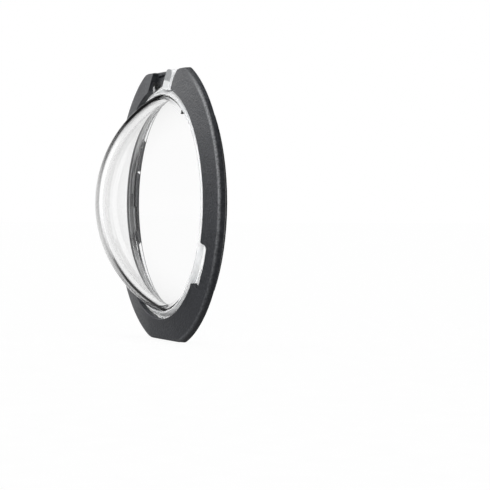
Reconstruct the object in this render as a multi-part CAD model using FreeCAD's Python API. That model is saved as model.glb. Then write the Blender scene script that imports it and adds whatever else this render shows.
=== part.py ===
import FreeCAD, Part
import math
import os

# Domed lens guard for a pocket two-lens panorama camera, as worn on the camera.
# Row frame: +Z up towards the lever slot, the optical axis along Y, the dome on the -Y side.
# The origin is on the optical axis, in the plane where the frame's walls meet the camera.
# Heights below are measured from that plane towards the dome, so a height h lies at y = -h.
# Angles are degrees about the optical axis, from +X towards +Z.

# Frame
OPENING_R = 18.7          # clear opening of the black frame
RIM_R = 23.0              # radius at the front edge of the side wall
RIM_H = 2.15              # height of that edge
WIDE_R = 23.35            # widest radius, low on the side wall
WIDE_H = 1.3
BACK_R = 22.3             # radius where the wall turns in to the back
BACK_H = 0.75             # height of the rim's rear face
SKIRT_R = 21.0            # inside of the rear frame's rim
FACE_H = 3.15             # height of the face at the edge of the opening
TOP_FLAT = 21.38          # the outline is cut flat above and below
BOTTOM_FLAT = 22.16
CORNER_R = 1.2            # outline corners beside the flats
EDGE_R = 0.42             # soft front edge of the side wall
RIM_STEPS = 5             # facets round that edge
LIP_BEVEL = 0.14          # broken edge round the opening
SPLIT_H = 1.3             # the rear frame lies below this height, the front frame above it
WALL_R = 19.4             # inside of the rear frame's walls and of the bridge behind the slot
WALL_SPANS = ((146.0, 163.0), (164.5, 201.0), (-40.0, 40.0), (71.5, 108.5))

# Bayonet channel between the two shells
CHANNEL_R = 20.5
CHANNEL_H = 2.2
WINDOW_HALF = 11.0        # each window in the front lip spans twice this angle
WINDOW_ANGLES = (-30.0, 210.0)
WINDOW_CORNER_R = 0.45

# Lever slot at the top
SLOT_HALF = 5.1
SLOT_CORNERS_R = {-1: 0.5, 1: 1.6}
BRIDGE_GROOVE_Z = (20.5, 20.8)
BRIDGE_GROOVE_DEPTH = 0.3

# Twist ring
RING_R = 18.62            # runs in the opening with 0.08 of clearance
RING_WALL_R = 18.1        # inside of its wall
RING_HOLE_R = 16.2
RING_LOW_H = 1.51
RING_SEAT_H = 1.95        # the dome stands on this step
RING_TOP_H = 2.15
LUG_ANGLES = (-26.0, 64.0, 214.0)
LUG_HALF = 7.0
LUG_R = 20.36
LUG_TOP_H = 2.11
CLAW_ANGLES = (-50.0, 70.0, 190.0)
CLAW_HALF = 8.0
CLAW_R = 15.4
LEVER_ANGLE = 81.0
LEVER_TOP_R = 21.6
LEVER_HALF = 1.15
LEVER_TIP_H = 2.6
LEVER_FOOT = ((2.1, 18.4), (2.05, 18.7), (1.45, 19.3), (1.15, 20.3))    # half widths of its foot, and radii
LEVER_FOOT_H = 2.75
LEVER_ROOT_H = 3.23
TWIST = 18.0              # degrees between the two ends of the lever's travel
NOTCH_DEPTH = 0.2
NOTCH_R = 0.35

# Dome
DOME_R = 20.5
DOME_WALL = 1.58
DOME_CENTRE_H = -7.75
DOME_LOW_H = 1.99
BOND_GAP = 0.03
BOND_H = (2.18, 2.95)
BOND_R = (18.35, 17.75)   # outer radius of the bead at its foot and at its top

# Small inner parts
COLLAR_BORE_R = 18.75     # goes over the camera's raised lens surround
COLLAR_R = 19.35
FLANGE_R = 20.95
WALL_GAP = 0.2            # degrees between the flange's gaps and the walls in them
WASHER_R = (19.2, 20.4)
WASHER_H = (1.32, 1.48)
SPRING_ANGLES = (154.0, 34.0)
SPRING_HALF = 21.0
SPRING_END_R = 20.36
SPRING_TIP_R = 18.82
SPRING_T = 0.12
SPRING_H = (1.55, 2.07)

SIDE = 60.0               # larger than the object, for cutting boxes
Y_AXIS = FreeCAD.Vector(0, 1, 0)
CENTRE = FreeCAD.Vector(0, 0, 0)


def section(radius, height):
    """Point of a turned profile."""
    return FreeCAD.Vector(radius, -height, 0)


def polar(radius, angle, height=0.0):
    """Point at a radius, angle and height."""
    turn = math.radians(angle)
    return FreeCAD.Vector(radius * math.cos(turn), -height, radius * math.sin(turn))


def turned(points):
    """Solid of revolution about the optical axis."""
    profile = [section(radius, height) for radius, height in points]
    face = Part.Face(Part.makePolygon(profile + profile[:1]))
    return face.revolve(CENTRE, Y_AXIS, 360)


def washer(inner, outer, low, high):
    """Flat ring between two radii and two heights."""
    return turned([(inner, low), (outer, low), (outer, high), (inner, high)])


def block(x_range, h_range, z_range):
    """Box between two x values, two heights and two z values."""
    corner = FreeCAD.Vector(x_range[0], -h_range[1], z_range[0])
    return Part.makeBox(x_range[1] - x_range[0], h_range[1] - h_range[0], z_range[1] - z_range[0], corner)


def sector(inner, outer, middle, half, low, high):
    """Piece of a ring, spanning an angle each side of its middle."""
    start = middle - half
    end = middle + half
    edges = [
        Part.Arc(polar(outer, start, low), polar(outer, middle, low), polar(outer, end, low)).toShape(),
        Part.makeLine(polar(outer, end, low), polar(inner, end, low)),
        Part.Arc(polar(inner, end, low), polar(inner, middle, low), polar(inner, start, low)).toShape(),
        Part.makeLine(polar(inner, start, low), polar(outer, start, low)),
    ]
    return Part.Face(Part.Wire(edges)).extrude(FreeCAD.Vector(0, low - high, 0))


def edges_along_axis(shape, keep=lambda point: True):
    """Straight edges parallel to the optical axis whose middle passes the test."""
    found = []
    for edge in shape.Edges:
        first = edge.Vertexes[0].Point
        last = edge.Vertexes[-1].Point
        straight = abs(first.x - last.x) < 1e-6 and abs(first.z - last.z) < 1e-6
        if straight and edge.Length > 1e-6 and keep((first + last) * 0.5):
            found.append(edge)
    return found


def soften(shape, radius, edges):
    """Round the given edges."""
    return shape.makeFillet(radius, edges)


def outline_corners(radius, inset):
    """Three points of each tangent corner where the circle meets the flats, anticlockwise."""
    bend_r = CORNER_R - inset
    bends = []
    for side, hand in ((1, 1), (1, -1), (-1, -1), (-1, 1)):
        flat = (TOP_FLAT if side == 1 else BOTTOM_FLAT) - inset
        centre_x = hand * math.sqrt((radius - bend_r) ** 2 - (flat - bend_r) ** 2)
        centre = FreeCAD.Vector(centre_x, 0, side * (flat - bend_r))
        outward = math.degrees(math.atan2(centre.z, centre.x))
        upright = 90.0 * side
        turns = [outward, 0.5 * (outward + upright), upright]
        if side * hand < 0:
            turns = turns[::-1]
        bends.append([centre + polar(bend_r, turn) for turn in turns])
    return bends


def closed_wire(bends, middles, height):
    """Wire through four bends, joined by arcs through the given middles or by straight lines."""
    edges = []
    for index, bend in enumerate(bends):
        following = bends[(index + 1) % len(bends)]
        middle = middles[index]
        edges.append(Part.Arc(*bend).toShape())
        if middle is None:
            edges.append(Part.makeLine(bend[2], following[0]))
        else:
            edges.append(Part.Arc(bend[2], middle, following[0]).toShape())
    wire = Part.Wire(edges)
    wire.translate(FreeCAD.Vector(0, -height, 0))
    return wire


def outline(radius, inset, height):
    """Closed outline of the frame: a circle cut flat above and below, with tangent corners."""
    reach = radius - inset
    bends = outline_corners(reach, inset)
    return closed_wire(bends, (None, polar(reach, 180), None, polar(reach, 0)), height)


def opening_outline(radius, height):
    """Full circle divided at the same angles as the frame's outline."""
    bends = []
    for bend in outline_corners(RIM_R, 0):
        bends.append([polar(radius, math.degrees(math.atan2(point.z, point.x))) for point in bend])
    return closed_wire(bends, [polar(radius, angle) for angle in (90, 180, 270, 0)], height)


def frame_blank():
    """Both frames in one piece: side wall, soft rim, sloping face, flats above and below."""
    slope = math.atan2(FACE_H - RIM_H, RIM_R - OPENING_R)
    sections = [outline(BACK_R, 0, BACK_H), outline(WIDE_R, 0, WIDE_H)]
    for step in range(RIM_STEPS + 1):
        turn = (0.5 * math.pi - slope) * step / RIM_STEPS
        inset = EDGE_R * (1 - math.cos(turn))
        sections.append(outline(RIM_R, inset, RIM_H - EDGE_R + EDGE_R * math.sin(turn)))
    sections.append(opening_outline(OPENING_R + LIP_BEVEL, FACE_H))
    sections.append(opening_outline(OPENING_R - LIP_BEVEL, FACE_H - 2 * LIP_BEVEL))
    body = Part.makeLoft(sections, True, True)
    bore = Part.makeCylinder(OPENING_R, 4 * FACE_H, section(0, -FACE_H), Y_AXIS * -1)
    return body.cut(bore)


def lever_slot():
    """Space cut out of the front shell for the lever, with round corners where it leaves the top."""
    edges = [Part.makeLine(FreeCAD.Vector(-SLOT_HALF, 0, 0), FreeCAD.Vector(SLOT_HALF, 0, 0))]
    tops = []
    for side, corner_r in SLOT_CORNERS_R.items():
        bend_x = SLOT_HALF + corner_r * (1 - math.sqrt(0.5))
        bend_z = TOP_FLAT - corner_r * (1 - math.sqrt(0.5))
        low = FreeCAD.Vector(side * SLOT_HALF, 0, TOP_FLAT - corner_r)
        high = FreeCAD.Vector(side * (SLOT_HALF + corner_r), 0, TOP_FLAT)
        above = FreeCAD.Vector(high.x, 0, SIDE)
        edges.append(Part.makeLine(FreeCAD.Vector(side * SLOT_HALF, 0, 0), low))
        edges.append(Part.Arc(low, FreeCAD.Vector(side * bend_x, 0, bend_z), high).toShape())
        edges.append(Part.makeLine(high, above))
        tops.append(above)
    edges.append(Part.makeLine(tops[0], tops[1]))
    face = Part.Face(Part.Wire(Part.__sortEdges__(edges)))
    return face.extrude(FreeCAD.Vector(0, -2 * FACE_H, 0))


def front_frame():
    """Front frame: sloping face, bayonet channel behind the lip, two windows and the slot."""
    above = block((-SIDE, SIDE), (SPLIT_H, FACE_H + 1), (-SIDE, SIDE))
    shell = frame_blank().common(above)
    shell = shell.cut(washer(OPENING_R - 1, CHANNEL_R, SPLIT_H - 1, CHANNEL_H))
    for angle in WINDOW_ANGLES:
        window = sector(OPENING_R - 2, CHANNEL_R, angle, WINDOW_HALF, SPLIT_H, FACE_H + 1)
        window = soften(window, WINDOW_CORNER_R, edges_along_axis(window))
        shell = shell.cut(window)
    return shell.cut(lever_slot())


def rear_frame():
    """Rear frame: a rim under the front one, walls that stand on the camera and the bridge."""
    rim = frame_blank().common(block((-SIDE, SIDE), (0, SPLIT_H), (-SIDE, SIDE)))
    rim = rim.cut(washer(OPENING_R - 1, SKIRT_R, -1, SPLIT_H + 1))
    for start, end in WALL_SPANS:
        rim = rim.fuse(sector(WALL_R, SKIRT_R, 0.5 * (start + end), 0.5 * (end - start), 0, SPLIT_H))
    groove_x = (-SLOT_HALF + 0.4, SLOT_HALF - 0.4)
    groove = block(groove_x, (SPLIT_H - BRIDGE_GROOVE_DEPTH, SPLIT_H + 1), BRIDGE_GROOVE_Z)
    return rim.removeSplitter().cut(groove)


def retaining_ring():
    """Clear ring behind the twist ring: a sleeve with the collar bore and a flange between the walls."""
    ring = washer(COLLAR_BORE_R, FLANGE_R, BACK_H, SPLIT_H)
    for start, end in WALL_SPANS:
        half = 0.5 * (end - start) + WALL_GAP
        ring = ring.cut(sector(COLLAR_R, FLANGE_R + 1, 0.5 * (start + end), half, 0, SPLIT_H + 1))
    return ring.fuse(washer(COLLAR_BORE_R, COLLAR_R, 0, SPLIT_H)).removeSplitter()


def lever():
    """Finger lever of the twist ring with its flared foot, drawn at the top and turned to its place."""
    side_view = [
        (LEVER_FOOT[0][1], RING_LOW_H),
        (LEVER_TOP_R, RING_LOW_H),
        (LEVER_TOP_R, LEVER_TIP_H),
        (RING_R, LEVER_ROOT_H),
        (LEVER_FOOT[0][1], LEVER_ROOT_H),
    ]
    points = [FreeCAD.Vector(-LEVER_HALF, -height, radius) for radius, height in side_view]
    blade = Part.Face(Part.makePolygon(points + points[:1])).extrude(FreeCAD.Vector(2 * LEVER_HALF, 0, 0))
    tips = edges_along_axis(blade, lambda point: point.z > LEVER_TOP_R - 0.1)
    blade = soften(blade, 0.7, tips)
    right = [FreeCAD.Vector(half, -RING_LOW_H, radius) for half, radius in LEVER_FOOT]
    left = [FreeCAD.Vector(-half, -RING_LOW_H, radius) for half, radius in LEVER_FOOT]
    foot = Part.Face(Part.makePolygon(right + left[::-1] + right[:1]))
    foot = foot.extrude(FreeCAD.Vector(0, RING_LOW_H - LEVER_FOOT_H, 0))
    piece = blade.fuse(foot).removeSplitter()
    piece.rotate(CENTRE, Y_AXIS, 90.0 - LEVER_ANGLE)
    return piece


def twist_ring():
    """Clear ring that carries the dome: rim, seat, three lugs, three claws and the lever."""
    ring = turned([
        (RING_HOLE_R, RING_LOW_H),
        (RING_R, RING_LOW_H),
        (RING_R, RING_TOP_H),
        (RING_WALL_R, RING_TOP_H),
        (RING_WALL_R, RING_SEAT_H),
        (RING_HOLE_R, RING_SEAT_H),
    ])
    for angle in SPRING_ANGLES:
        for stop in (0.0, -TWIST):
            centre = polar(RING_R + NOTCH_R - NOTCH_DEPTH, angle + stop, RING_TOP_H + 1)
            ring = ring.cut(Part.makeCylinder(NOTCH_R, RING_TOP_H - RING_LOW_H + 2, centre, Y_AXIS))
    for angle in LUG_ANGLES:
        lug = sector(RING_WALL_R + 0.2, LUG_R, angle, LUG_HALF, RING_LOW_H, LUG_TOP_H)
        lug = soften(lug, 0.3, edges_along_axis(lug, lambda point: point.Length > LUG_R - 0.3))
        ring = ring.fuse(lug)
    for angle in CLAW_ANGLES:
        claw = sector(CLAW_R, RING_HOLE_R + 0.3, angle, CLAW_HALF, RING_LOW_H, RING_SEAT_H)
        ring = ring.fuse(claw)
    return ring.fuse(lever()).removeSplitter()


def dome_lens():
    """Clear dome: a shell of even thickness cut off flat at its foot."""
    centre = section(0, DOME_CENTRE_H)
    inner_r = DOME_R - DOME_WALL

    def on_sphere(radius, tilt):
        turn = math.radians(tilt)
        return centre + FreeCAD.Vector(radius * math.sin(turn), -radius * math.cos(turn), 0)

    rise = DOME_LOW_H - DOME_CENTRE_H
    outer_tilt = math.degrees(math.acos(rise / DOME_R))
    inner_tilt = math.degrees(math.acos(rise / inner_r))
    outer = [on_sphere(DOME_R, 0), on_sphere(DOME_R, outer_tilt / 2), on_sphere(DOME_R, outer_tilt)]
    inner = [on_sphere(inner_r, inner_tilt), on_sphere(inner_r, inner_tilt / 2), on_sphere(inner_r, 0)]
    edges = [
        Part.Arc(*outer).toShape(),
        Part.makeLine(outer[2], inner[0]),
        Part.Arc(*inner).toShape(),
        Part.makeLine(inner[2], outer[0]),
    ]
    return Part.Face(Part.Wire(edges)).revolve(CENTRE, Y_AXIS, 360)


def dome_bond():
    """Bead of clear cement in the corner between the dome and the ring's rim."""
    inner = RING_WALL_R - 2
    bead = turned([(inner, BOND_H[0]), (BOND_R[0], BOND_H[0]), (BOND_R[1], BOND_H[1]), (inner, BOND_H[1])])
    ball = Part.makeSphere(DOME_R + BOND_GAP, section(0, DOME_CENTRE_H))
    return bead.cut(ball)


def glide_washer():
    """Thin slippery washer on the floor of the channel, under the lugs."""
    return washer(WASHER_R[0], WASHER_R[1], WASHER_H[0], WASHER_H[1])


def detent_spring(angle):
    """Bowed leaf in the channel, whose middle clicks into the ring's notches."""
    ends = (angle - SPRING_HALF, angle + SPRING_HALF)
    low = SPRING_H[0]
    outer = Part.Arc(
        polar(SPRING_END_R, ends[0], low),
        polar(SPRING_TIP_R + SPRING_T, angle, low),
        polar(SPRING_END_R, ends[1], low),
    )
    inner = Part.Arc(
        polar(SPRING_END_R - SPRING_T, ends[1], low),
        polar(SPRING_TIP_R, angle, low),
        polar(SPRING_END_R - SPRING_T, ends[0], low),
    )
    edges = [
        outer.toShape(),
        Part.makeLine(polar(SPRING_END_R, ends[1], low), polar(SPRING_END_R - SPRING_T, ends[1], low)),
        inner.toShape(),
        Part.makeLine(polar(SPRING_END_R - SPRING_T, ends[0], low), polar(SPRING_END_R, ends[0], low)),
    ]
    return Part.Face(Part.Wire(edges)).extrude(FreeCAD.Vector(0, low - SPRING_H[1], 0))


NODES = {
    "front_frame": front_frame(),
    "rear_frame": rear_frame(),
    "twist_ring": twist_ring(),
    "dome_lens": dome_lens(),
    "dome_bond": dome_bond(),
    "retaining_ring": retaining_ring(),
    "glide_washer": glide_washer(),
    "detent_spring_left": detent_spring(SPRING_ANGLES[0]),
    "detent_spring_right": detent_spring(SPRING_ANGLES[1]),
}

os.makedirs("parts", exist_ok=True)
for node, shape in NODES.items():
    print(node, len(shape.Solids), shape.isValid(), round(shape.Volume, 2))
    shape.exportStep("parts/" + node + ".step")
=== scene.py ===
import math

import bmesh
import bpy
from mathutils import Matrix, Vector


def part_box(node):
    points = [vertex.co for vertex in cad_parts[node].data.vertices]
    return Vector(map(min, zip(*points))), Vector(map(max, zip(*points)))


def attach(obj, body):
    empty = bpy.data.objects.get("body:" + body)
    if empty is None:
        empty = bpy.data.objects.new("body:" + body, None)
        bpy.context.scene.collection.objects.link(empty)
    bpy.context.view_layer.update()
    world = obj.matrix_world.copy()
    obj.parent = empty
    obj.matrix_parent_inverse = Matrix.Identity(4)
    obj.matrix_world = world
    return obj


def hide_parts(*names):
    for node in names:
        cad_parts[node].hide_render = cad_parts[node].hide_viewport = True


# Looks of the domed lens guard. Meshes are made in millimetres about the optical axis and scaled at the end.
# A height is measured from the plane of the camera towards the dome, so a height h lies at y = -h.
# Angles about the axis are in degrees, from +X towards +Z.

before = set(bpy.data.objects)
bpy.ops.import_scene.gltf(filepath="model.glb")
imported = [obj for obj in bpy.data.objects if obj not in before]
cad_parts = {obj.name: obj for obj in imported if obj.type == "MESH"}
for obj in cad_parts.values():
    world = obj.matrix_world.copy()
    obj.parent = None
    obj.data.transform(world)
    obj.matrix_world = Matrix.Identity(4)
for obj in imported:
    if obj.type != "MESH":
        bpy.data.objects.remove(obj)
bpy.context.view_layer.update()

MM = 0.001


def box_mm(node):
    """Lowest and highest corner of a CAD node, in millimetres."""
    low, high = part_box(node)
    return Vector(low) / MM, Vector(high) / MM


# Camera: level with the guard and off to its right
AZIMUTH = math.radians(66.45)
ELEVATION = math.radians(1.06)
ROLL = math.radians(0.18)
CAMERA_DISTANCE = 300.0
LENS_MM = 136.45
SENSOR_MM = 36.0
OFF_RIGHT = 14.01         # the picture's centre lies this far right of the guard
OFF_DOWN = 6.73           # and this far below it

# Sizes read from the CAD model
front_low, front_high = box_mm("front_frame")
ring_low, ring_high = box_mm("twist_ring")
dome_low, dome_high = box_mm("dome_lens")
washer_low, washer_high = box_mm("glide_washer")
bond_low, bond_high = box_mm("dome_bond")
FACE_H = -front_low.y
SPLIT_H = -front_high.y
TOP_FLAT = front_high.z
BOTTOM_FLAT = -front_low.z
WIDE_R = front_high.x
RING_LOW_H = -ring_high.y
LEVER_ROOT_H = -ring_low.y
FOOT_H = -dome_high.y
POLE_H = -dome_low.y
WASHER_LOW_H = -washer_high.y
WASHER_HIGH_H = -washer_low.y
WASHER_R = washer_high.x
BOND_LOW_H = -bond_high.y
BOND_HIGH_H = -bond_low.y
BOND_R = bond_high.x

# Frame
OPENING_R = 18.7
RIM_R = 23.0
RIM_H = 2.13
BACK_R = 22.3
BACK_H = 0.75
CHANNEL_R = 20.5
CHANNEL_H = 2.2
WINDOWS = ((-41.0, -19.0), (199.0, 221.0))
WINDOW_CORNER_R = 0.6
LIP_CORNER_R = 0.5
SLOT_HALF = 5.1
SLOT_CORNERS = ((-1, 0.3, 0.5), (1, 0.8, 1.6))    # side, inner and outer corner radius
BRIDGE_GROOVE = (20.5, 20.8)
BRIDGE_GROOVE_HALF = 4.7
BRIDGE_GROOVE_DEPTH = 0.3
SKIRT_R = 21.0
WALL_R = 19.4
WALL_SPANS = ((146.0, 163.0), (164.5, 201.0), (-40.0, 40.0), (71.5, 108.5))
CORNER_SHARPNESS = 300.0  # of the outline's corners beside the flats
FRONT_BEVEL = 0.16
REAR_BEVEL = 0.08

# Twist ring
RING_R = 18.62
RING_WALL_R = 18.1
RING_HOLE_R = 16.2
RING_SEAT_H = 1.95
RING_TOP_H = 2.15
LUG_ANGLES = (-26.0, 64.0, 214.0)
LUG_HALF = 7.0
LUG_R = 20.36
LUG_TOP_H = 2.11
CLAW_ANGLES = (-50.0, 70.0, 190.0)
CLAW_HALF = 8.0
CLAW_R = 15.4
RING_BEVEL = 0.06

# Lever
LEVER_ANGLE = 81.0
LEVER_HALF = 1.15
LEVER_INNER_R = 18.4
LEVER_TOP_R = 21.6
LEVER_TIP_CORNER_R = 0.65
LEVER_GREY_R = 19.8       # its face is grey beyond this radius
LEVER_SLOPE = 0.212       # fall of the front face towards the tip
LEVER_FOOT_H = 2.25
LEVER_FOOT = ((2.05, LEVER_INNER_R, 0), (2.05, 18.72, 0.05), (1.35, 19.15, 0.5), (0.9, 20.2, 0))
LEVER_BEVEL = 0.12

# Retaining ring, washer, dome and cement
SLEEVE_R = (18.75, 19.35)
FLANGE_R = 20.95
FLANGE_GAP = 0.2          # degrees between the flange and a wall
WASHER_HOLE_R = 19.2
DOME_R = 20.5
DOME_WALL = 1.58
DOME_BEVEL = 0.08
BOND_TOP_R = 17.75
BOND_GAP = 0.03           # between the cement and the dome
FAR_SIDE = (-16.5, -14.0)  # x between which the far side changes to the near side

# Fineness of the meshes
STEPS = 360               # round a full ring
DOME_STEPS = 240          # round the dome
DOME_ROWS = 56            # from the dome's pole to its foot
SHARP = 50.0              # an edge with a larger angle isn't shaded smooth
WELD = 0.004              # points nearer than this are one

# Studio
FLOOR_R = 3.0             # metres
BACKDROP = (-0.917, 0.4)  # heading of the white backdrop, behind the guard
CARD = 1.35               # brightness of the white card, where the backdrop has 1
SKY = 0.34                # brightness that the surroundings shed on matt surfaces


# ---- mesh helpers ----

def rounded(corners, steps=3):
    """Closed outline through corners (x, y, radius), each rounded with its own radius."""
    points = []
    for index, (x, y, radius) in enumerate(corners):
        here = Vector((x, y))
        if not radius:
            points.append(here)
            continue
        back = (Vector(corners[index - 1][:2]) - here).normalized()
        ahead = (Vector(corners[(index + 1) % len(corners)][:2]) - here).normalized()
        half = back.angle(ahead) / 2
        centre = here + (back + ahead).normalized() * (radius / math.sin(half))
        spoke = here + back * (radius / math.tan(half)) - centre
        turn = math.pi - 2 * half
        if back.cross(ahead) > 0:
            turn = -turn
        for step in range(steps + 1):
            points.append(centre + Matrix.Rotation(turn * step / steps, 2) @ spoke)
    return points


def to_object(form, name):
    """Object from a bmesh, its normals outwards and its unit kept."""
    bmesh.ops.recalc_face_normals(form, faces=form.faces)
    mesh = bpy.data.meshes.new(name)
    form.to_mesh(mesh)
    form.free()
    piece = bpy.data.objects.new(name, mesh)
    bpy.context.scene.collection.objects.link(piece)
    return piece


def on_circle(radius, angle):
    """Point (x, z) at a radius and an angle."""
    turn = math.radians(angle)
    return radius * math.cos(turn), radius * math.sin(turn)


def loop_of(form, section, angle):
    """New vertices along a section of (radius, height) points, at one angle about the axis."""
    turn = math.radians(angle)
    return [form.verts.new((r * math.cos(turn), -h, r * math.sin(turn))) for r, h in section]


def ring_of(name, section):
    """Closed ring whose section(angle) is an outline of (radius, height) points."""
    form = bmesh.new()
    angles = [360.0 * step / STEPS for step in range(STEPS)]
    loops = [loop_of(form, section(angle), angle) for angle in angles]
    for index, loop in enumerate(loops):
        following = loops[(index + 1) % STEPS]
        for place, vertex in enumerate(loop):
            other = (place + 1) % len(loop)
            form.faces.new((vertex, loop[other], following[other], following[place]))
    return to_object(form, name)


def solid_between(name, near, far):
    """Closed solid between two outlines of as many points."""
    form = bmesh.new()
    near = [form.verts.new(point) for point in near]
    far = [form.verts.new(point) for point in far]
    form.faces.new(near)
    form.faces.new(far[::-1])
    for index, vertex in enumerate(near):
        other = (index + 1) % len(near)
        form.faces.new((vertex, near[other], far[other], far[index]))
    return to_object(form, name)


def prism(name, outline, low, high):
    """Outline of (x, z) points drawn out between two heights."""
    return solid_between(name, [(x, -high, z) for x, z in outline], [(x, -low, z) for x, z in outline])


def arc(radius, start, end, steps=16):
    """Points along an arc about the axis."""
    return [on_circle(radius, start + (end - start) * step / steps) for step in range(steps + 1)]


def sector(name, inner, outer, span, low, high):
    """Piece of a ring between two radii, two angles and two heights."""
    return prism(name, arc(outer, *span) + arc(inner, *span)[::-1], low, high)


def modified(piece):
    """Applies the modifiers of a piece to its mesh."""
    bpy.context.view_layer.update()
    seen = piece.evaluated_get(bpy.context.evaluated_depsgraph_get())
    mesh = bpy.data.meshes.new_from_object(seen)
    piece.modifiers.clear()
    piece.data = mesh


def combine(piece, others, operation):
    """Joins the other solids to a piece, or cuts them from it."""
    for other in others:
        boolean = piece.modifiers.new("combine", "BOOLEAN")
        boolean.operation = operation
        boolean.solver = "EXACT"
        boolean.object = other
        modified(piece)
        bpy.data.objects.remove(other)


def bevelled(piece, width, limit=38.0, segments=2):
    """Rounds the edges of a piece that turn by more than the limit, and clears the slivers that leaves."""
    bevel = piece.modifiers.new("bevel", "BEVEL")
    bevel.width = width
    bevel.segments = segments
    bevel.limit_method = "ANGLE"
    bevel.angle_limit = math.radians(limit)
    bevel.use_clamp_overlap = True
    modified(piece)
    form = bmesh.new()
    form.from_mesh(piece.data)
    bmesh.ops.remove_doubles(form, verts=form.verts, dist=WELD)
    bmesh.ops.dissolve_degenerate(form, edges=form.edges, dist=WELD)
    form.to_mesh(piece.data)
    form.free()


def finished(piece, body, stands_for, skin):
    """Scales a piece to metres, smooths its shading and ties it to the frame in place of CAD nodes."""
    piece.data.transform(Matrix.Scale(MM, 4))
    form = bmesh.new()
    form.from_mesh(piece.data)
    for face in form.faces:
        face.smooth = True
    for edge in form.edges:
        edge.smooth = len(edge.link_faces) != 2 or edge.calc_face_angle(0.0) < math.radians(SHARP)
    form.to_mesh(piece.data)
    form.free()
    weigh = piece.modifiers.new("normals", "WEIGHTED_NORMAL")
    weigh.keep_sharp = True
    modified(piece)
    piece.data.materials.clear()
    piece.data.materials.append(skin)
    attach(piece, body)
    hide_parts(*stands_for)
    return piece


# ---- materials ----

class Nodes:
    """Helpers for one node tree."""

    def __init__(self, tree, coordinates):
        self.tree = tree
        self.place = self.add("ShaderNodeTexCoord").outputs[coordinates]

    def add(self, kind, **settings):
        node = self.tree.nodes.new(kind)
        for key, value in settings.items():
            setattr(node, key, value)
        return node

    def feed(self, socket, value):
        """Gives an input socket a number, a colour or another node's output."""
        if isinstance(value, (int, float)):
            socket.default_value = value
        elif isinstance(value, tuple):
            socket.default_value = (*value, 1.0)
        else:
            self.tree.links.new(value, socket)

    def noise(self, grain_mm, detail=2.0, roughness=0.5):
        """Noise whose grains are about this many millimetres across."""
        node = self.add("ShaderNodeTexNoise")
        node.inputs["Scale"].default_value = 1.0 / (grain_mm * MM)
        node.inputs["Detail"].default_value = detail
        node.inputs["Roughness"].default_value = roughness
        self.feed(node.inputs["Vector"], self.place)
        return node.outputs["Fac"]

    def ramp(self, source, stops):
        """Colour ramp through (position, grey or colour) stops, in rising order."""
        node = self.add("ShaderNodeValToRGB")
        elements = node.color_ramp.elements
        elements[0].position = stops[0][0]
        elements[1].position = stops[-1][0]
        for position, _ in stops[1:-1]:
            elements.new(position)
        for element, (_, tint) in zip(elements, stops):
            if not isinstance(tint, tuple):
                tint = (tint, tint, tint)
            element.color = (*tint, 1.0)
        self.feed(node.inputs["Fac"], source)
        return node.outputs["Color"]

    def span(self, source, low, high, to_low=0.0, to_high=1.0):
        """Maps a value from one range to another, clamped."""
        node = self.add("ShaderNodeMapRange")
        for key, value in zip(("From Min", "From Max", "To Min", "To Max"), (low, high, to_low, to_high)):
            node.inputs[key].default_value = value
        self.feed(node.inputs["Value"], source)
        return node.outputs["Result"]

    def maths(self, operation, first, second=0.0):
        """Arithmetic on one or two values."""
        node = self.add("ShaderNodeMath", operation=operation)
        self.feed(node.inputs[0], first)
        self.feed(node.inputs[1], second)
        return node.outputs["Value"]

    def product(self, first, *others):
        for other in others:
            first = self.maths("MULTIPLY", first, other)
        return first

    def length(self, first, second):
        """Length of the hypotenuse over two sides."""
        return self.maths("SQRT", self.maths("ADD", self.product(first, first), self.product(second, second)))

    def mix(self, factor, first, second):
        """Mix of two colours."""
        node = self.add("ShaderNodeMix", data_type="RGBA")
        self.feed(node.inputs["Factor"], factor)
        self.feed(node.inputs["A"], first)
        self.feed(node.inputs["B"], second)
        return node.outputs["Result"]


class Skin(Nodes):
    """Principled material."""

    def __init__(self, name, **sockets):
        self.made = bpy.data.materials.new(name)
        self.made.use_nodes = True
        super().__init__(self.made.node_tree, "Object")
        self.shader = self.tree.nodes["Principled BSDF"]
        for key, value in sockets.items():
            self.shader.inputs[key.replace("_", " ")].default_value = value

    def paint(self, key, value):
        """Feeds one of the shader's sockets."""
        self.feed(self.shader.inputs[key], value)

    def bump(self, height, strength, depth_mm):
        node = self.add("ShaderNodeBump")
        node.inputs["Strength"].default_value = strength
        node.inputs["Distance"].default_value = depth_mm * MM
        self.feed(node.inputs["Height"], height)
        self.paint("Normal", node.outputs["Normal"])

    def axes(self):
        """The three coordinates of the surface point, in metres."""
        node = self.add("ShaderNodeSeparateXYZ")
        self.feed(node.inputs["Vector"], self.place)
        return node.outputs["X"], node.outputs["Y"], node.outputs["Z"]

    def reach(self):
        """Distance of the surface point from the optical axis."""
        x, _, z = self.axes()
        return self.length(x, z)


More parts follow.
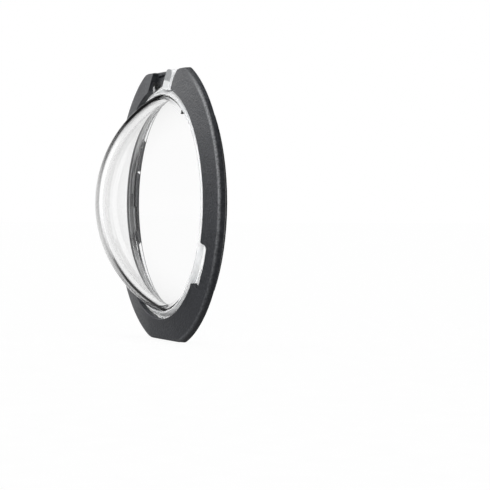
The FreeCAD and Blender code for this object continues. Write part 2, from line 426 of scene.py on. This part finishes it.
def frame_skin():
    """Charcoal plastic with a fine spark-eroded grain, and a painted highlight along the edge of its face."""
    highlight_r = RIM_R - 0.12
    highlight_h = RIM_H + 0.02
    skin = Skin("charcoal plastic")
    fine = skin.noise(0.34, 2.0, 0.6)
    broad = skin.noise(3.5, 2.0)
    grain = skin.ramp(fine, ((0.38, (0.017, 0.019, 0.023)), (0.64, (0.052, 0.055, 0.064))))
    faded = skin.ramp(broad, ((0.35, (0.028, 0.030, 0.036)), (0.65, (0.040, 0.043, 0.051))))
    base = skin.mix(skin.span(broad, 0.3, 0.7, 0.15, 0.4), grain, faded)
    _, y, z = skin.axes()
    off_edge = skin.length(
        skin.maths("SUBTRACT", skin.reach(), highlight_r * MM),
        skin.maths("ADD", y, highlight_h * MM),
    )
    # painted highlight: a speckled light band along the rounded edge of the face, weaker low down and gone
    # near the top flat
    painted_ridge_highlight = skin.product(
        skin.span(off_edge, 0.42 * MM, 0.12 * MM),
        skin.span(fine, 0.34, 0.6, 0.3, 0.9),
        skin.span(z, -12 * MM, 2 * MM, 0.25, 1.0),
        skin.span(z, 20.5 * MM, 17.0 * MM),
    )
    skin.paint("Base Color", skin.mix(painted_ridge_highlight, base, (0.31, 0.317, 0.33)))
    skin.paint("Roughness", skin.span(fine, 0.35, 0.65, 0.36, 0.56))
    skin.bump(skin.noise(0.3, 2.0, 0.6), 1.0, 0.07)
    return skin.made


def dome_skin():
    """Clear plastic with painted shade: where its outer surface turns edge-on, its colour and reflections are
    painted dark in a line with a faint grey veil inside it, differently low down and high up.
    """
    skin = Skin("dome plastic", Roughness=0.0, IOR=1.4, Transmission_Weight=1.0)
    facing = skin.add("ShaderNodeLayerWeight").outputs["Facing"]
    height = skin.axes()[2]
    # painted shade: ramps over the Layer Weight facing darken the glass and its reflections near the outline,
    # a painted dark line with a faint painted grey veil inside it
    painted_grey_veil = ((0.25, 1.0), (0.60, 0.88), (0.64, 1.0))
    middle = skin.ramp(facing, (*painted_grey_veil, (0.73, 1.0), (0.76, 0.1), (0.97, 0.2)))
    lower = skin.ramp(facing, (*painted_grey_veil, (0.66, 1.0), (0.70, 0.0), (0.76, 0.0), (0.79, 0.4), (0.97, 0.4)))
    upper = skin.ramp(facing, (*painted_grey_veil, (0.68, 1.0), (0.77, 0.0), (0.91, 0.0), (0.96, 0.7)))
    painted_edge_shade = skin.mix(skin.span(height, -1 * MM, -9 * MM), middle, lower)
    painted_edge_shade = skin.mix(skin.span(height, 6 * MM, 13 * MM), painted_edge_shade, upper)
    from_centre = skin.add("ShaderNodeVectorMath", operation="DISTANCE")
    skin.feed(from_centre.inputs[0], skin.place)
    from_centre.inputs[1].default_value = (0, (DOME_R - POLE_H) * MM, 0)
    mid_wall = DOME_R - DOME_WALL / 2
    outside = skin.span(from_centre.outputs["Value"], (mid_wall - 0.1) * MM, (mid_wall + 0.1) * MM)
    # the painted shade lies only on the outer surface
    painted_edge_shade = skin.mix(outside, (1.0, 1.0, 1.0), painted_edge_shade)
    skin.paint("Base Color", painted_edge_shade)
    skin.paint("Specular Tint", painted_edge_shade)
    return skin.made


def clear_skin(name, haze, tint, clarity):
    """Clear moulded plastic with faint flow waviness; clarity(skin) is 1 where it isn't milky."""
    skin = Skin(name, IOR=1.14)
    wave = skin.noise(2.2, 1.0)
    skin.paint("Base Color", skin.ramp(wave, ((0.3, tint), (0.7, (1.0, 1.0, 1.0)))))
    skin.paint("Roughness", skin.span(skin.noise(0.6), 0.3, 0.7, haze * 0.7, haze * 1.3))
    skin.paint("Transmission Weight", clarity(skin))
    skin.bump(wave, 0.02, 0.02)
    return skin.made


def nearness(skin):
    """0 on the far side of the guard, towards -X, and 1 elsewhere."""
    return skin.span(skin.axes()[0], *(x * MM for x in FAR_SIDE))


def ring_clarity(skin):
    """The twist ring is milky in its rim, and clear under the dome and on its far side. The milky rim on the
    near side is painted light: it shows lit white there, standing in for light on that side.
    """
    rim = skin.span(skin.reach(), (RING_WALL_R - 0.1) * MM, (RING_WALL_R + 0.2) * MM)
    return skin.span(skin.product(rim, nearness(skin)), 0.0, 1.0, 1.0, 0.35)


def sleeve_clarity(skin):
    """The retaining ring is clear in its sleeve and a little milky in the flange."""
    return skin.span(skin.reach(), (SLEEVE_R[1] - 0.05) * MM, (SLEEVE_R[1] + 0.15) * MM, 1.0, 0.75)


def cement_clarity(skin):
    """The cement is milky but for its far side. The milky near side is painted light: it shows lit white
    there, standing in for light on that side.
    """
    return skin.span(nearness(skin), 0.0, 1.0, 1.0, 0.3)


def lever_skin():
    """White translucent plastic, its front face above the foot painted grey, standing in for the dark bridge
    seen through the blade.
    """
    skin = Skin("lever plastic", IOR=1.4, Transmission_Weight=0.15)
    reach = skin.reach()
    depth = skin.maths("SUBTRACT", skin.axes()[1], skin.product(reach, LEVER_SLOPE))
    face = LEVER_ROOT_H + RING_R * LEVER_SLOPE
    # painted grey on the front face beyond LEVER_GREY_R, standing in for the dark bridge seen through the
    # blade
    front = skin.span(depth, (0.17 - face) * MM, (0.05 - face) * MM)
    grey = skin.product(front, skin.span(reach, (LEVER_GREY_R - 0.1) * MM, (LEVER_GREY_R + 0.1) * MM))
    skin.paint("Base Color", skin.mix(grey, (0.92, 0.93, 0.94), (0.42, 0.43, 0.44)))
    skin.paint("Roughness", skin.span(skin.noise(0.4), 0.3, 0.7, 0.25, 0.4))
    return skin.made


def film_skin():
    """Thin see-through film, a little cloudy."""
    skin = Skin("cloudy film", IOR=1.2, Transmission_Weight=0.97)
    cloud = skin.noise(1.2)
    skin.paint("Base Color", skin.ramp(cloud, ((0.3, 0.8), (0.7, 0.95))))
    skin.paint("Roughness", skin.span(cloud, 0.3, 0.7, 0.1, 0.2))
    return skin.made


def steel_skin():
    """Bright rolled strip with a fine grain."""
    skin = Skin("rolled steel", Metallic=1.0)
    grain = skin.noise(0.1, 4.0)
    skin.paint("Base Color", skin.ramp(grain, ((0.3, 0.42), (0.7, 0.62))))
    skin.paint("Roughness", skin.span(grain, 0.3, 0.7, 0.22, 0.4))
    skin.bump(grain, 0.2, 0.005)
    return skin.made


# ---- frame ----

def outline_radius(radius, angle):
    """Radius of the frame's outline at an angle: a circle cut flat above and below, corners softened."""
    rise = math.sin(math.radians(angle))
    if abs(rise) < 0.5:   # the flats end above this
        return radius
    flat = (TOP_FLAT if rise > 0 else BOTTOM_FLAT) / abs(rise)
    return radius * (1 + (radius / flat) ** CORNER_SHARPNESS) ** (-1 / CORNER_SHARPNESS)


def front_section(angle):
    return rounded((
        (outline_radius(WIDE_R, angle), SPLIT_H, 0.04),
        (outline_radius(RIM_R, angle), RIM_H, 0.45),
        (OPENING_R, FACE_H, 0.14),
        (OPENING_R, CHANNEL_H, 0.06),
        (CHANNEL_R, CHANNEL_H, 0.05),
        (CHANNEL_R, SPLIT_H, 0.05),
    ), 5)


def rear_section(angle):
    return rounded((
        (outline_radius(WIDE_R, angle), SPLIT_H, 0.04),
        (SKIRT_R, SPLIT_H, 0.05),
        (SKIRT_R, BACK_H, 0.08),
        (outline_radius(BACK_R, angle), BACK_H, 0.12),
    ), 3)


CUT_R = OPENING_R - 0.02  # cuts start just inside the opening's edge


def slot_outline():
    """Lever slot, open at the top, its corners rounded at the opening and at the outline."""
    corners = []
    top = TOP_FLAT + 0.02
    foot = math.sqrt(CUT_R ** 2 - SLOT_HALF ** 2)
    beside = SLOT_HALF + 2.4
    for side, inner, outer in SLOT_CORNERS:
        flank = [
            (side * (SLOT_HALF + 2), foot - 0.7, 0),
            (side * SLOT_HALF, foot, inner),
            (side * SLOT_HALF, top, outer),
            (side * beside, top, 0),
            (side * beside, 30, 0),
        ]
        corners += flank if side < 0 else flank[::-1]
    return rounded(corners, 6)


def window_outline(start, end):
    """Window from the opening out to the channel, its corners rounded."""
    corners = [(*on_circle(CUT_R, start - 3), 0), (*on_circle(CUT_R, start), LIP_CORNER_R)]
    edge = arc(CHANNEL_R, start, end, 8)
    for index, point in enumerate(edge):
        corners.append((*point, WINDOW_CORNER_R if index in (0, len(edge) - 1) else 0))
    corners += [(*on_circle(CUT_R, end), LIP_CORNER_R), (*on_circle(CUT_R, end + 3), 0)]
    return rounded(corners, 6)


def front_frame(skin):
    piece = ring_of("front_shell", front_section)
    cuts = [slot_outline()] + [window_outline(*span) for span in WINDOWS]
    combine(piece, [prism("cut", cut, 0, FACE_H + 2) for cut in cuts], "DIFFERENCE")
    bevelled(piece, FRONT_BEVEL, segments=3)
    return finished(piece, "frame", ["front_frame"], skin)


def rear_frame(skin):
    """Rear shell with its walls, and a groove across the bridge."""
    piece = ring_of("rear_shell", rear_section)
    walls = [sector("wall", WALL_R, SKIRT_R + 0.05, span, 0, SPLIT_H - 0.02) for span in WALL_SPANS]
    combine(piece, walls, "UNION")
    low, high = BRIDGE_GROOVE
    half = BRIDGE_GROOVE_HALF
    groove = ((-half, low), (half, low), (half, high), (-half, high))
    combine(piece, [prism("groove", groove, SPLIT_H - BRIDGE_GROOVE_DEPTH, SPLIT_H + 1)], "DIFFERENCE")
    bevelled(piece, REAR_BEVEL)
    return finished(piece, "frame", ["rear_frame"], skin)


# ---- clear parts ----

def dome(skin):
    """Shell of even thickness with a softened foot."""
    centre = POLE_H - DOME_R
    section = []
    for radius, steps in ((DOME_R, range(DOME_ROWS + 1)), (DOME_R - DOME_WALL, range(DOME_ROWS, -1, -1))):
        foot_tilt = math.acos((FOOT_H - centre) / radius)
        for step in steps:
            tilt = foot_tilt * step / DOME_ROWS
            section.append((radius * math.sin(tilt), centre + radius * math.cos(tilt)))
    form = bmesh.new()
    outer_pole = form.verts.new((0, -section[0][1], 0))
    inner_pole = form.verts.new((0, -section[-1][1], 0))
    loops = [loop_of(form, section[1:-1], 360.0 * step / DOME_STEPS) for step in range(DOME_STEPS)]
    for index, loop in enumerate(loops):
        following = loops[(index + 1) % DOME_STEPS]
        form.faces.new((outer_pole, loop[0], following[0]))
        form.faces.new((inner_pole, following[-1], loop[-1]))
        for place in range(len(loop) - 1):
            form.faces.new((loop[place], loop[place + 1], following[place + 1], following[place]))
    piece = to_object(form, "dome_shell")
    bevelled(piece, DOME_BEVEL)
    return finished(piece, "dome_ring", ["dome_lens"], skin)


def twist_ring(skin):
    """Ring with its lugs and claws."""
    section = rounded((
        (RING_HOLE_R, RING_LOW_H, 0.08),
        (RING_R, RING_LOW_H, 0.1),
        (RING_R, RING_TOP_H, 0.12),
        (RING_WALL_R, RING_TOP_H, 0.06),
        (RING_WALL_R, RING_SEAT_H, 0.04),
        (RING_HOLE_R, RING_SEAT_H, 0.08),
    ))
    piece = ring_of("clear_twist_ring", lambda angle: section)
    low = RING_LOW_H + 0.01
    extras = []
    for angle in LUG_ANGLES:
        span = (angle - LUG_HALF, angle + LUG_HALF)
        extras.append(sector("lug", RING_WALL_R + 0.2, LUG_R, span, low, LUG_TOP_H))
    for angle in CLAW_ANGLES:
        span = (angle - CLAW_HALF, angle + CLAW_HALF)
        extras.append(sector("claw", CLAW_R, RING_HOLE_R + 0.4, span, low, RING_SEAT_H - 0.01))
    combine(piece, extras, "UNION")
    bevelled(piece, RING_BEVEL)
    return finished(piece, "dome_ring", ["twist_ring"], skin)


def finger_lever(skin):
    """Lever blade on a low flared foot, front face sloping back, drawn at the top and turned to its place."""
    half = LEVER_HALF
    blade = rounded((
        (half, LEVER_INNER_R, 0),
        (half, LEVER_TOP_R, LEVER_TIP_CORNER_R),
        (-half, LEVER_TOP_R, LEVER_TIP_CORNER_R),
        (-half, LEVER_INNER_R, 0),
    ), 6)
    piece = prism("finger_lever", blade, RING_LOW_H, LEVER_ROOT_H)
    foot = list(LEVER_FOOT) + [(-x, z, radius) for x, z, radius in LEVER_FOOT[::-1]]
    combine(piece, [prism("foot", rounded(foot, 5), RING_LOW_H + 0.01, LEVER_FOOT_H)], "UNION")
    beyond = LEVER_TOP_R + 1.4
    above = LEVER_ROOT_H + 2
    drop = LEVER_SLOPE * (beyond - RING_R)
    outline = ((RING_R, LEVER_ROOT_H), (beyond, LEVER_ROOT_H - drop), (beyond, above), (RING_R, above))
    slope = solid_between("slope", [(-4, -h, r) for r, h in outline], [(4, -h, r) for r, h in outline])
    combine(piece, [slope], "DIFFERENCE")
    bevelled(piece, LEVER_BEVEL, 30.0, 3)
    piece.data.transform(Matrix.Rotation(math.radians(90.0 - LEVER_ANGLE), 4, "Y"))
    return finished(piece, "dome_ring", ["twist_ring"], skin)


def retaining_ring(skin):
    """Clear sleeve with the collar bore, and a flange between the frame's walls."""
    section = rounded((
        (SLEEVE_R[0], 0, 0.08),
        (SLEEVE_R[1], 0, 0.08),
        (SLEEVE_R[1], BACK_H, 0.03),
        (FLANGE_R, BACK_H, 0.06),
        (FLANGE_R, SPLIT_H, 0.06),
        (SLEEVE_R[0], SPLIT_H, 0.08),
    ))
    piece = ring_of("clear_retaining_ring", lambda angle: section)
    gaps = []
    for start, end in WALL_SPANS:
        span = (start - FLANGE_GAP, end + FLANGE_GAP)
        gaps.append(sector("gap", SLEEVE_R[1], FLANGE_R + 1, span, -1, SPLIT_H + 1))
    combine(piece, gaps, "DIFFERENCE")
    return finished(piece, "frame", ["retaining_ring"], skin)


def dome_bond(skin):
    """Bead of clear cement, its inner side following the dome."""
    centre = POLE_H - DOME_R
    section = [(BOND_R, BOND_LOW_H), (BOND_R, BOND_LOW_H + 0.05), (BOND_TOP_R, BOND_HIGH_H)]
    rows = 6
    for step in range(rows + 1):
        h = BOND_HIGH_H + (BOND_LOW_H - BOND_HIGH_H) * step / rows
        section.append((math.sqrt((DOME_R + BOND_GAP) ** 2 - (h - centre) ** 2), h))
    piece = ring_of("cement_bead", lambda angle: section)
    return finished(piece, "dome_ring", ["dome_bond"], skin)


def glide_washer(skin):
    section = rounded((
        (WASHER_HOLE_R, WASHER_LOW_H, 0.05),
        (WASHER_R, WASHER_LOW_H, 0.05),
        (WASHER_R, WASHER_HIGH_H, 0.05),
        (WASHER_HOLE_R, WASHER_HIGH_H, 0.05),
    ))
    piece = ring_of("glide_film", lambda angle: section)
    return finished(piece, "frame", ["glide_washer"], skin)


# ---- studio ----

def camera():
    """Camera at the photograph's viewing angle."""
    toward = Vector((
        math.sin(AZIMUTH) * math.cos(ELEVATION),
        -math.cos(AZIMUTH) * math.cos(ELEVATION),
        math.sin(ELEVATION),
    ))
    right = Vector((math.cos(AZIMUTH), math.sin(AZIMUTH), 0))
    up = toward.cross(right)
    aim = Vector((0, -FACE_H, 0)) + right * OFF_RIGHT - up * OFF_DOWN
    data = bpy.data.cameras.new("camera")
    data.lens = LENS_MM
    data.sensor_width = SENSOR_MM
    data.clip_start = 0.01
    data.clip_end = 20
    thing = bpy.data.objects.new("camera", data)
    turn = Matrix((right, up, toward)).transposed().to_4x4()
    place = Matrix.Translation((aim + toward * CAMERA_DISTANCE) * MM)
    thing.matrix_world = place @ turn @ Matrix.Rotation(ROLL, 4, "Z")
    bpy.context.scene.collection.objects.link(thing)
    bpy.context.scene.camera = thing


def area_light(name, size, power, place, lit, mirrored=True):
    """Soft square light of a size in metres, pointed at the guard, that falls on one collection."""
    data = bpy.data.lights.new(name, "AREA")
    data.shape = "SQUARE"
    data.size = size
    data.energy = power
    thing = bpy.data.objects.new(name, data)
    thing.location = place
    thing.rotation_euler = Vector(place).to_track_quat("Z", "Y").to_euler()
    thing.light_linking.receiver_collection = lit
    thing.visible_glossy = mirrored
    thing.visible_transmission = mirrored
    bpy.context.scene.collection.objects.link(thing)


def surroundings():
    """White surroundings, which reflections see dim but for a backdrop behind the guard and a card beside it.

    Only sharp reflections, those of the dome, see the card.
    """
    world = bpy.data.worlds.new("studio")
    world.use_nodes = True
    nodes = Nodes(world.node_tree, "Generated")
    path = nodes.add("ShaderNodeLightPath").outputs
    heading = nodes.add("ShaderNodeSeparateXYZ")
    nodes.feed(heading.inputs["Vector"], nodes.place)
    rise = heading.outputs["Z"]
    behind = nodes.maths(
        "ADD",
        nodes.product(heading.outputs["X"], BACKDROP[0]),
        nodes.product(heading.outputs["Y"], BACKDROP[1]),
    )
    backdrop = nodes.product(
        nodes.span(behind, 0.74, 0.80),                  # its sides
        nodes.span(rise, 0.17, 0.05),                    # its top
        nodes.span(rise, -0.26, -0.12),                  # its bottom
    )
    card = nodes.product(
        nodes.span(behind, 0.70, 0.735),                 # its outer side
        nodes.span(behind, 0.88, 0.85),                  # its side towards the backdrop's middle
        nodes.span(rise, 0.42, 0.30),                    # its top
        nodes.span(rise, -0.36, -0.26, 0.0, CARD),       # its bottom
        path["Is Singular Ray"],
    )
    ceiling = nodes.span(rise, 0.05, 0.2, 0.22, 0.03)
    mirrored = nodes.maths("GREATER_THAN", path["Is Glossy Ray"], path["Is Transmission Ray"])
    looks = (
        (path["Is Transmission Ray"], 1.0),
        (mirrored, nodes.maths("MAXIMUM", card, nodes.maths("MAXIMUM", backdrop, ceiling))),
        (path["Is Diffuse Ray"], SKY),
    )
    seen = nodes.tree.nodes["Background"]
    seen.inputs["Color"].default_value = (1, 1, 1, 1)
    shader = seen.outputs["Background"]
    for ray, strength in looks:
        seen = nodes.add("ShaderNodeBackground")
        seen.inputs["Color"].default_value = (1, 1, 1, 1)
        nodes.feed(seen.inputs["Strength"], strength)
        mix = nodes.add("ShaderNodeMixShader")
        nodes.feed(mix.inputs["Fac"], ray)
        nodes.feed(mix.inputs[1], shader)
        nodes.feed(mix.inputs[2], seen.outputs["Background"])
        shader = mix.outputs["Shader"]
    nodes.feed(nodes.tree.nodes["World Output"].inputs["Surface"], shader)
    bpy.context.scene.world = world


def studio(on_frame, on_clear):
    """Pale floor, white surroundings, and soft lights for two collections of pieces."""
    form = bmesh.new()
    bmesh.ops.create_circle(form, cap_ends=True, segments=96, radius=FLOOR_R)
    floor = to_object(form, "floor")
    floor.location.z = -BOTTOM_FLAT * MM
    skin = Skin("floor paint", Roughness=0.7, Specular_IOR_Level=0.0, Emission_Strength=0.925)
    skin.paint("Base Color", skin.ramp(skin.noise(4.0), ((0.3, 0.14), (0.7, 0.16))))
    skin.paint("Emission Color", (1.0, 1.0, 1.0))
    floor.data.materials.append(skin.made)
    floor.visible_diffuse = False
    floor.visible_glossy = False
    surroundings()
    area_light("key", 1.5, 16.0, (-0.75, -0.75, 0.85), on_frame)
    area_light("front", 0.3, 2.6, (0.3, -0.85, 0.45), on_frame)
    area_light("clear fill", 1.5, 30.0, (1.0, -0.8, 0.5), on_clear, mirrored=False)
    area_light("clear back", 1.5, 30.0, (-0.9, 0.9, 0.6), on_clear, mirrored=False)
    bpy.context.scene.view_settings.view_transform = "Standard"


camera()
on_frame = bpy.data.collections.new("frame lamps fall on")
on_clear = bpy.data.collections.new("clear part lamps fall on")
studio(on_frame, on_clear)

charcoal = frame_skin()
for piece in (front_frame(charcoal), rear_frame(charcoal)):
    on_frame.objects.link(piece)
pale = (0.97, 0.98, 0.985)
clear_pieces = (
    retaining_ring(clear_skin("clear sleeve plastic", 0.02, pale, sleeve_clarity)),
    twist_ring(clear_skin("clear ring plastic", 0.03, pale, ring_clarity)),
    dome_bond(clear_skin("clear cement", 0.1, (0.93, 0.945, 0.955), cement_clarity)),
    finger_lever(lever_skin()),
)
for piece in clear_pieces:
    on_clear.objects.link(piece)
glide_washer(film_skin())
dome(dome_skin())
steel = steel_skin()
for node in ("detent_spring_left", "detent_spring_right"):
    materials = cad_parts[node].data.materials
    materials.clear()
    materials.append(steel)
